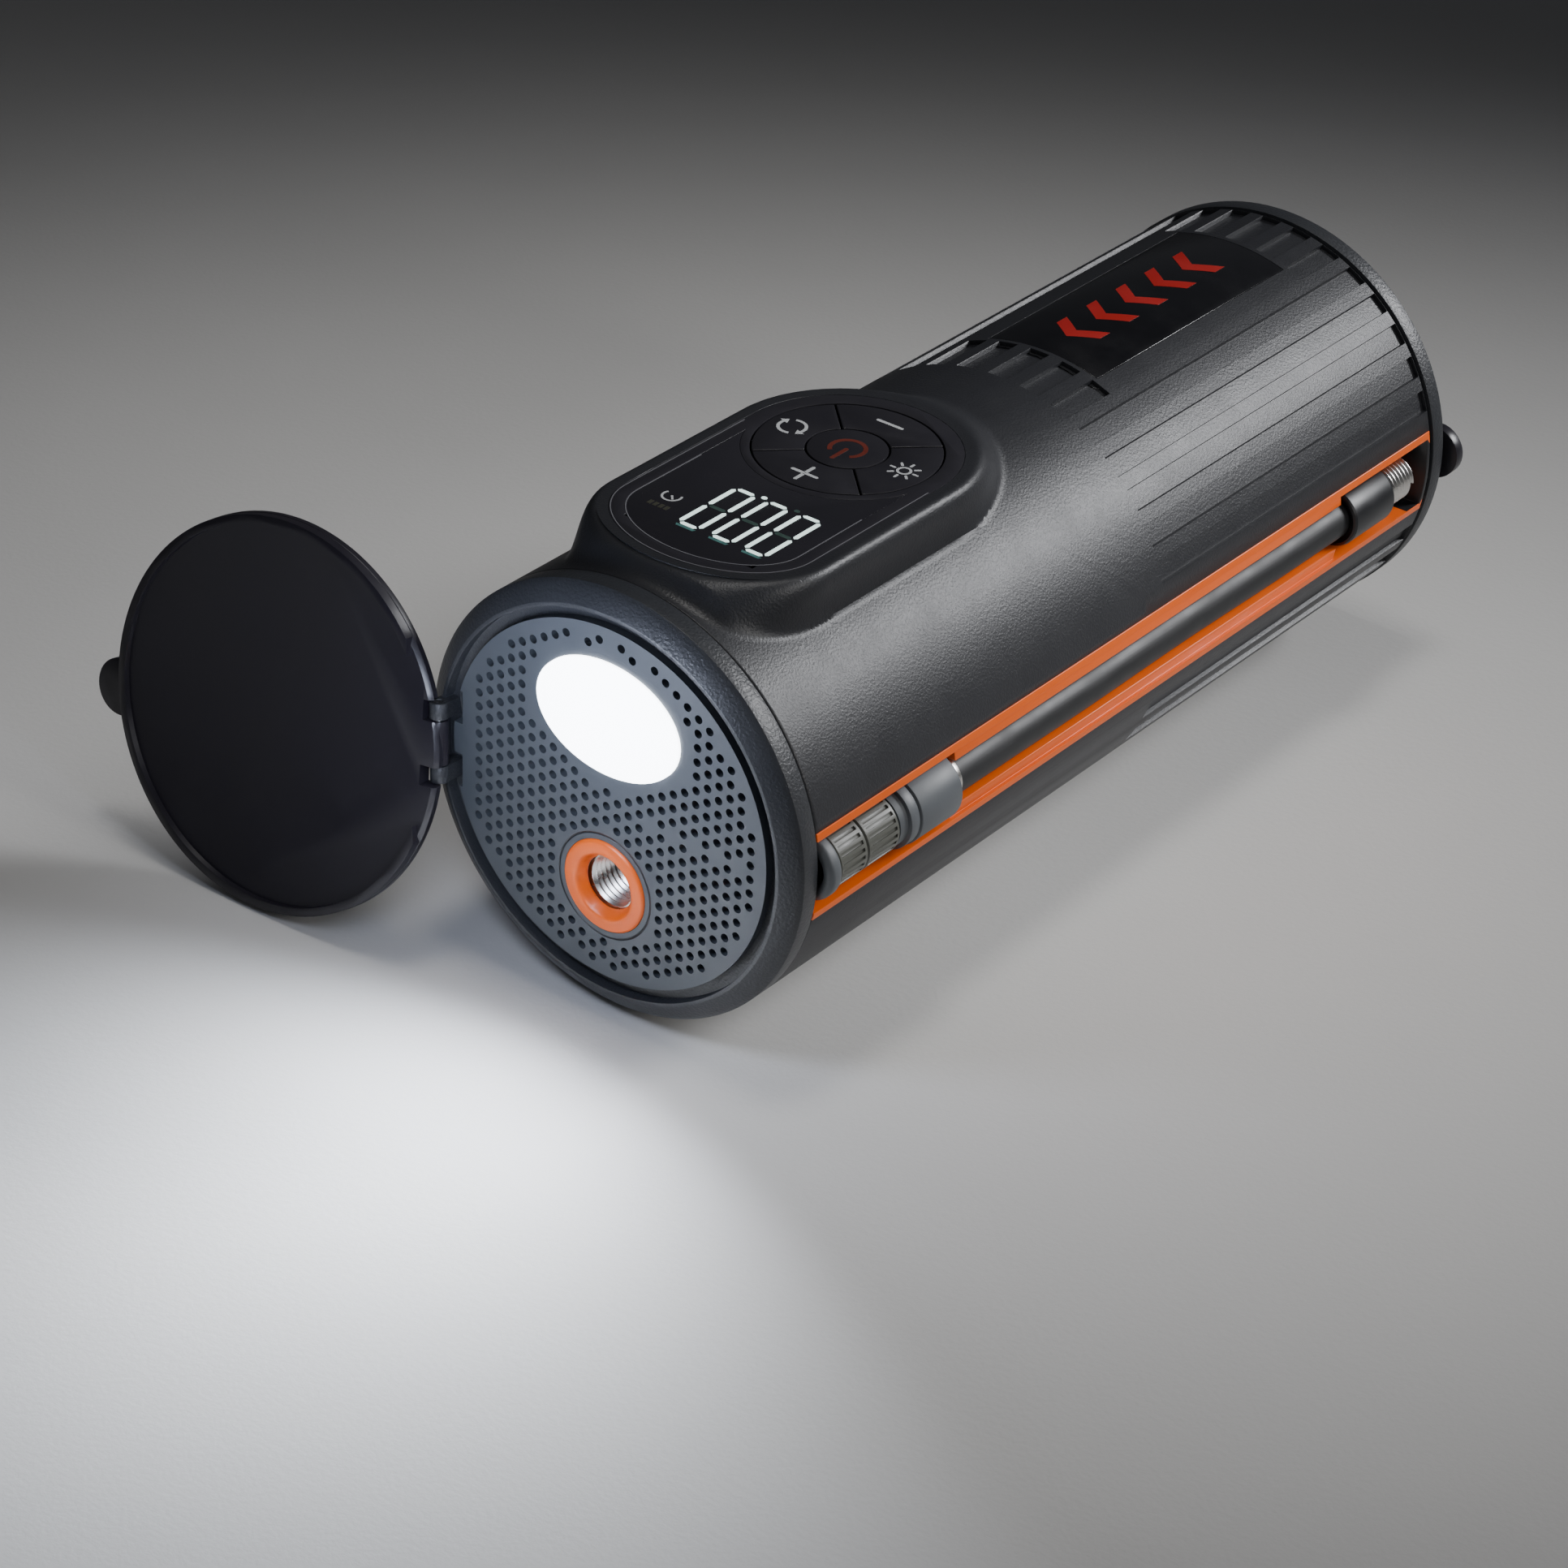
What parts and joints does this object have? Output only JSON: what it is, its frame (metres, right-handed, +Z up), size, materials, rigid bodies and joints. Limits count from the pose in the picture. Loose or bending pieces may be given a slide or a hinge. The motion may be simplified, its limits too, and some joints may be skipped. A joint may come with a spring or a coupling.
{
  "type": "cordless tyre inflator",
  "caption": "Cylindrical cordless tyre inflator with a torch, air outlet, top control panel, hose stowed in a side channel and hinged end lids.",
  "frame": {"origin": "centre of the base pad's underside, on the surface that the body lies on", "axes": "+Y along the body from the torch end to the charging end, +Z up, +X towards the hose channel"},
  "size_m": [0.1515, 0.2232, 0.0847],
  "materials": {
    "shell_abs": "fine moulded leather grain",
    "ring_abs": "moulded grain with a satin bevel",
    "grille_abs": "smooth satin moulding",
    "lid_tpe": "satin soft-touch moulding",
    "inner_abs": "plain moulding",
    "orange_abs": "satin moulding",
    "pad_rubber": "matt",
    "hose_rubber": "smooth extruded rubber",
    "chuck_abs": "satin moulding",
    "black_abs": "satin moulding",
    "steel": "turned and plated",
    "nickel": "nickel plated thread",
    "brass": "hobbed and sintered",
    "cast_metal": "die cast",
    "motor_steel": "plated can",
    "circuit_board": "solder mask",
    "led_phosphor": "phosphor",
    "torch_lens": "frosted inside",
    "reflector": "metallised",
    "panel_gloss": "satin black",
    "window_smoke": "smoked gloss",
    "display_lit": "lit segments",
    "key_plastic": "smooth satin",
    "key_silicone": "matt silicone",
    "label_film": "smooth satin film",
    "cell_wrap": "heat-shrink wrap"
  },
  "bodies": {
    "housing": {"upper_shell": "shell_abs", "lower_shell": "shell_abs", "front_ring": "ring_abs", "rear_ring": "ring_abs", "front_grille": "grille_abs", "rear_plate": "inner_abs", "battery_tray": "inner_abs", "pressure_sensor": "inner_abs", "channel_liner": "orange_abs", "outlet_ring": "orange_abs", "base_pad": "pad_rubber", "air_tube": "hose_rubber", "shell_screws": "steel", "front_lid_pin": "steel", "rear_lid_pin": "steel", "outlet_insert": "nickel", "cell_links": "nickel", "usb_c_port": "nickel", "usb_a_port": "nickel", "crank_bearing": "brass", "gearbox_frame": "cast_metal", "pump_cylinder": "cast_metal", "cylinder_head": "cast_metal", "motor_can": "motor_steel", "led_board": "circuit_board", "port_board": "circuit_board", "control_board": "circuit_board", "led_chips": "led_phosphor", "torch_lens": "torch_lens", "torch_reflector": "reflector", "panel_cover": "panel_gloss", "display_window": "window_smoke", "display_module": "display_lit", "key_mat": "key_silicone", "label_plate": "label_film", "battery_cells": "cell_wrap"},
    "front_lid": {"front_lid": "lid_tpe"},
    "rear_lid": {"rear_lid": "lid_tpe"},
    "hose_unit": {"hose": "hose_rubber", "hose_crimp": "steel", "hose_ferrule": "black_abs", "chuck_body": "chuck_abs", "chuck_seal": "pad_rubber", "chuck_pin": "steel"},
    "chuck_nut": {"chuck_nut": "chuck_abs", "chuck_end_ring": "black_abs"},
    "hose_nipple": {"hose_nipple": "nickel"},
    "power_key": {"power_key": "key_plastic"},
    "plus_key": {"plus_key": "key_plastic"},
    "minus_key": {"minus_key": "key_plastic"},
    "mode_key": {"mode_key": "key_plastic"},
    "light_key": {"light_key": "key_plastic"},
    "rotor": {"rotor": "steel", "cooling_fan": "inner_abs"},
    "crank": {"crank_gear": "brass"},
    "piston": {"piston": "cast_metal", "piston_seal": "pad_rubber", "connecting_rod": "cast_metal", "crank_pin": "steel"}
  },
  "joints": [
    {"name": "front_lid_hinge", "type": "hinge", "parent": "housing", "child": "front_lid", "pos_m": [-0.0344, -0.1042, 0.0422], "axis": [-0.1039, 0.099, 0.9897], "range_deg": [-2, 177]},
    {"name": "rear_lid_hinge", "type": "hinge", "parent": "housing", "child": "rear_lid", "pos_m": [-0.0344, 0.1042, 0.0422], "axis": [0, 0, 1], "range_deg": [0, 177]},
    {"name": "hose_lift", "type": "slide", "parent": "housing", "child": "hose_unit", "axis": [1, 0, 0], "range_m": [0, 0.03]},
    {"name": "chuck_nut_spin", "type": "hinge", "parent": "hose_unit", "child": "chuck_nut", "pos_m": [0.0359, -0.0832, 0.0422], "axis": [0, 1, 0], "continuous": true},
    {"name": "hose_nipple_spin", "type": "hinge", "parent": "hose_unit", "child": "hose_nipple", "pos_m": [0.0359, 0.0838, 0.0422], "axis": [0, 1, 0], "continuous": true},
    {"name": "power_key_press", "type": "slide", "parent": "housing", "child": "power_key", "axis": [0, 0, -1], "range_m": [0, 0.0004], "stiffness_N_per_m": 900},
    {"name": "plus_key_press", "type": "slide", "parent": "housing", "child": "plus_key", "axis": [0, 0, -1], "range_m": [0, 0.0004], "stiffness_N_per_m": 900},
    {"name": "minus_key_press", "type": "slide", "parent": "housing", "child": "minus_key", "axis": [0, 0, -1], "range_m": [0, 0.0004], "stiffness_N_per_m": 900},
    {"name": "mode_key_press", "type": "slide", "parent": "housing", "child": "mode_key", "axis": [0, 0, -1], "range_m": [0, 0.0004], "stiffness_N_per_m": 900},
    {"name": "light_key_press", "type": "slide", "parent": "housing", "child": "light_key", "axis": [0, 0, -1], "range_m": [0, 0.0004], "stiffness_N_per_m": 900},
    {"name": "rotor_spin", "type": "hinge", "parent": "housing", "child": "rotor", "pos_m": [-0.006, -0.0402, 0.0182], "axis": [0, 1, 0], "continuous": true},
    {"name": "crank_spin", "type": "hinge", "parent": "housing", "child": "crank", "pos_m": [-0.006, -0.0502, 0.0342], "axis": [0, 1, 0], "continuous": true},
    {"name": "piston_stroke", "type": "slide", "parent": "housing", "child": "piston", "axis": [0, 0, 1], "range_m": [0, 0.009]}
  ],
  "couplings": [
    {"joint": "rotor_spin", "follows": "crank_spin", "ratio": -3}
  ]
}
